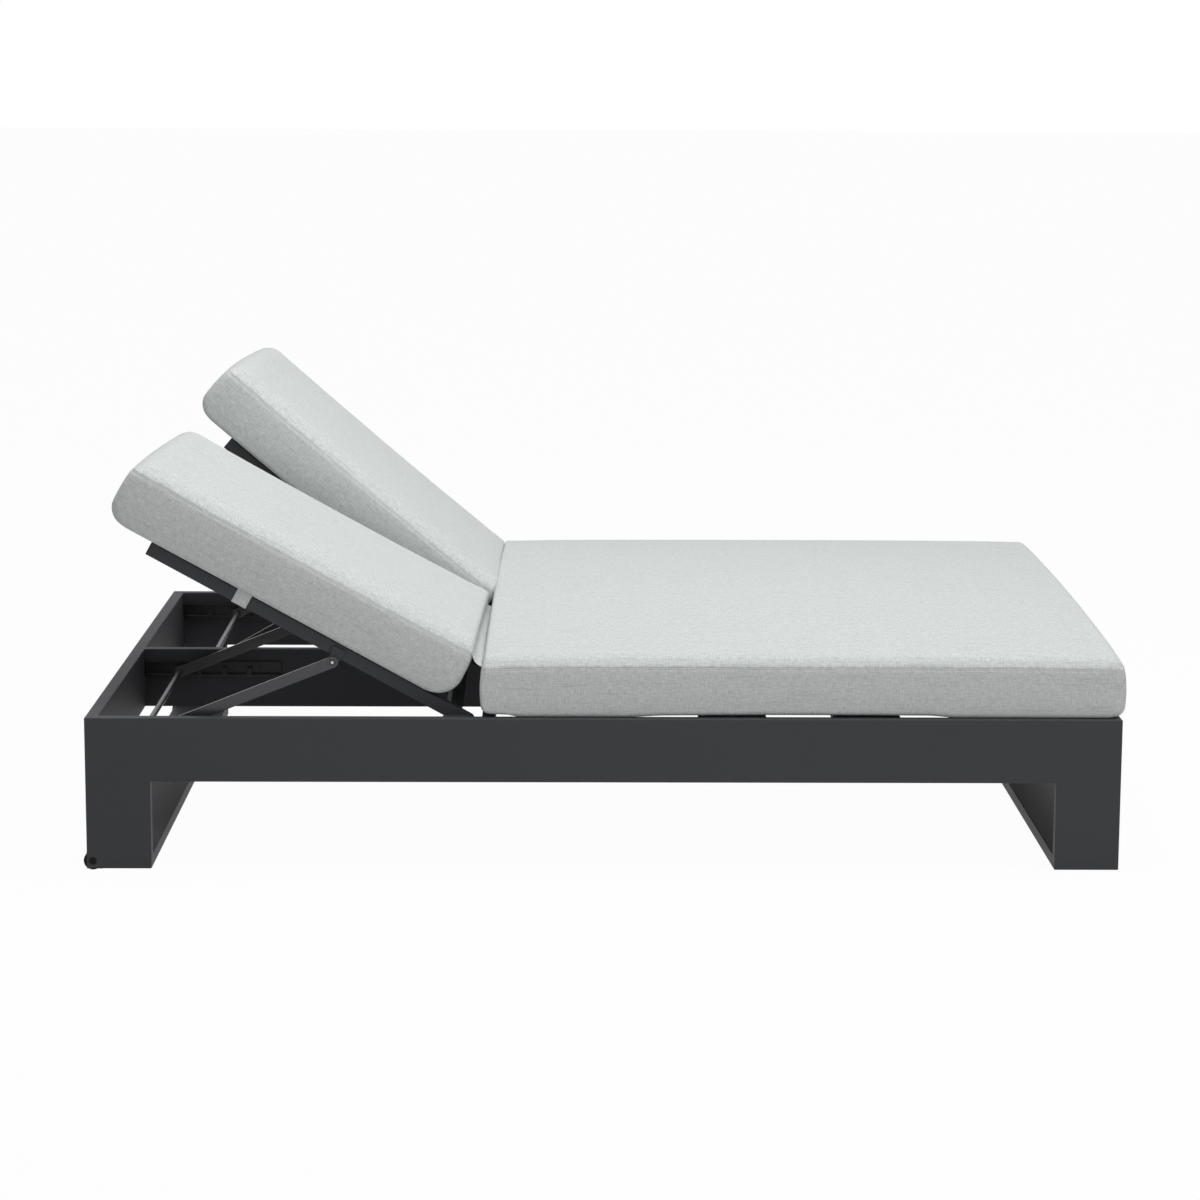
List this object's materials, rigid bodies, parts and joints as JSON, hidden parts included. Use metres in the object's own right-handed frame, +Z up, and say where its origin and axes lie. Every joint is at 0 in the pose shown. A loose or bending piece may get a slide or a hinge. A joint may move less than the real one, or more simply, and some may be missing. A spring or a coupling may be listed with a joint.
{
  "type": "double chaise lounger",
  "caption": "Low double sun lounger on loop legs with side-by-side reclining backrests on ratchet props, a shared seat cushion, back cushions and small wheels.",
  "frame": {"origin": "on the floor, under the middle of the whole lounger's box at rest", "axes": "+X from the head end to the foot end, +Y to the sitter's left, +Z up"},
  "size_m": [2.02, 1.5, 0.8946],
  "materials": {
    "powder_coat": "fine matte charcoal powder coat",
    "cover_fabric": "pale grey-green woven outdoor fabric",
    "foam": "open-cell foam",
    "black_plastic": "matte",
    "dark_steel": "blackened",
    "wheel_rubber": "matte",
    "steel": "satin"
  },
  "bodies": {
    "frame": {"right_side_rail": "powder_coat", "left_side_rail": "powder_coat", "centre_beam": "powder_coat", "head_beam": "powder_coat", "foot_beam": "powder_coat", "head_right_post": "powder_coat", "head_left_post": "powder_coat", "foot_right_post": "powder_coat", "foot_left_post": "powder_coat", "head_runner": "powder_coat", "foot_runner": "powder_coat", "foot_glides": "black_plastic", "right_seat_slats": "powder_coat", "left_seat_slats": "powder_coat", "seat_cross_tubes": "powder_coat", "right_hinge_plates": "powder_coat", "left_hinge_plates": "powder_coat", "right_outer_rack": "powder_coat", "right_inner_rack": "powder_coat", "left_inner_rack": "powder_coat", "left_outer_rack": "powder_coat", "bracket_screws": "dark_steel", "wheel_axles": "dark_steel", "seat_cushion_cover": "cover_fabric", "seat_cushion_core": "foam"},
    "right_backrest": {"right_backrest_outer_rail": "powder_coat", "right_backrest_inner_rail": "powder_coat", "right_backrest_top_rail": "powder_coat", "right_backrest_foot_rail": "powder_coat", "right_backrest_slats": "powder_coat", "right_backrest_caps": "black_plastic", "right_prop_lugs": "powder_coat", "right_hinge_pins": "steel"},
    "right_prop": {"right_prop_arms": "powder_coat", "right_prop_rod": "steel", "right_prop_rivets": "steel"},
    "right_back_cushion": {"right_back_cushion_cover": "cover_fabric", "right_back_cushion_core": "foam", "right_cushion_straps": "cover_fabric", "right_cushion_flap": "cover_fabric"},
    "right_wheel": {"right_wheel_hub": "black_plastic", "right_wheel_tyre": "wheel_rubber"},
    "left_backrest": {"left_backrest_outer_rail": "powder_coat", "left_backrest_inner_rail": "powder_coat", "left_backrest_top_rail": "powder_coat", "left_backrest_foot_rail": "powder_coat", "left_backrest_slats": "powder_coat", "left_backrest_caps": "black_plastic", "left_prop_lugs": "powder_coat", "left_hinge_pins": "steel"},
    "left_prop": {"left_prop_arms": "powder_coat", "left_prop_rod": "steel", "left_prop_rivets": "steel"},
    "left_back_cushion": {"left_back_cushion_cover": "cover_fabric", "left_back_cushion_core": "foam", "left_cushion_straps": "cover_fabric", "left_cushion_flap": "cover_fabric"},
    "left_wheel": {"left_wheel_hub": "black_plastic", "left_wheel_tyre": "wheel_rubber"}
  },
  "joints": [
    {"name": "right_backrest_recline", "type": "hinge", "parent": "frame", "child": "right_backrest", "pos_m": [-0.26725, 0, 0.285], "axis": [0, 1, 0], "range_deg": [-28.8, 29.9]},
    {"name": "right_prop_swing", "type": "hinge", "parent": "right_backrest", "child": "right_prop", "pos_m": [-0.52858, 0, 0.40185], "axis": [0, 1, 0], "range_deg": [-50.47, 48.63]},
    {"name": "right_cushion_shift", "type": "slide", "parent": "right_backrest", "child": "right_back_cushion", "axis": [-0.8763, 0, 0.4818], "range_m": [-0.06012, 0.0624]},
    {"name": "left_backrest_recline", "type": "hinge", "parent": "frame", "child": "left_backrest", "pos_m": [-0.26725, 0, 0.285], "axis": [0, 1, 0], "range_deg": [-40.4, 18.3]},
    {"name": "left_prop_swing", "type": "hinge", "parent": "left_backrest", "child": "left_prop", "pos_m": [-0.49975, 0, 0.45201], "axis": [0, 1, 0], "range_deg": [-31.01, 68.09]},
    {"name": "left_cushion_shift", "type": "slide", "parent": "left_backrest", "child": "left_back_cushion", "axis": [-0.7615, 0, 0.6481], "range_m": [-0.06827, 0.03109]},
    {"name": "right_wheel_roll", "type": "hinge", "parent": "frame", "child": "right_wheel", "pos_m": [-0.99175, -0.7365, 0.018], "axis": [0, 1, 0], "continuous": true},
    {"name": "left_wheel_roll", "type": "hinge", "parent": "frame", "child": "left_wheel", "pos_m": [-0.99175, 0.7365, 0.018], "axis": [0, 1, 0], "continuous": true}
  ],
  "couplings": [
    {"joint": "right_prop_swing", "follows": "right_backrest_recline", "ratio": -1.678},
    {"joint": "right_cushion_shift", "follows": "right_backrest_recline", "m_per_rad": 0.119},
    {"joint": "left_prop_swing", "follows": "left_backrest_recline", "ratio": -1.678},
    {"joint": "left_cushion_shift", "follows": "left_backrest_recline", "m_per_rad": 0.0964}
  ]
}
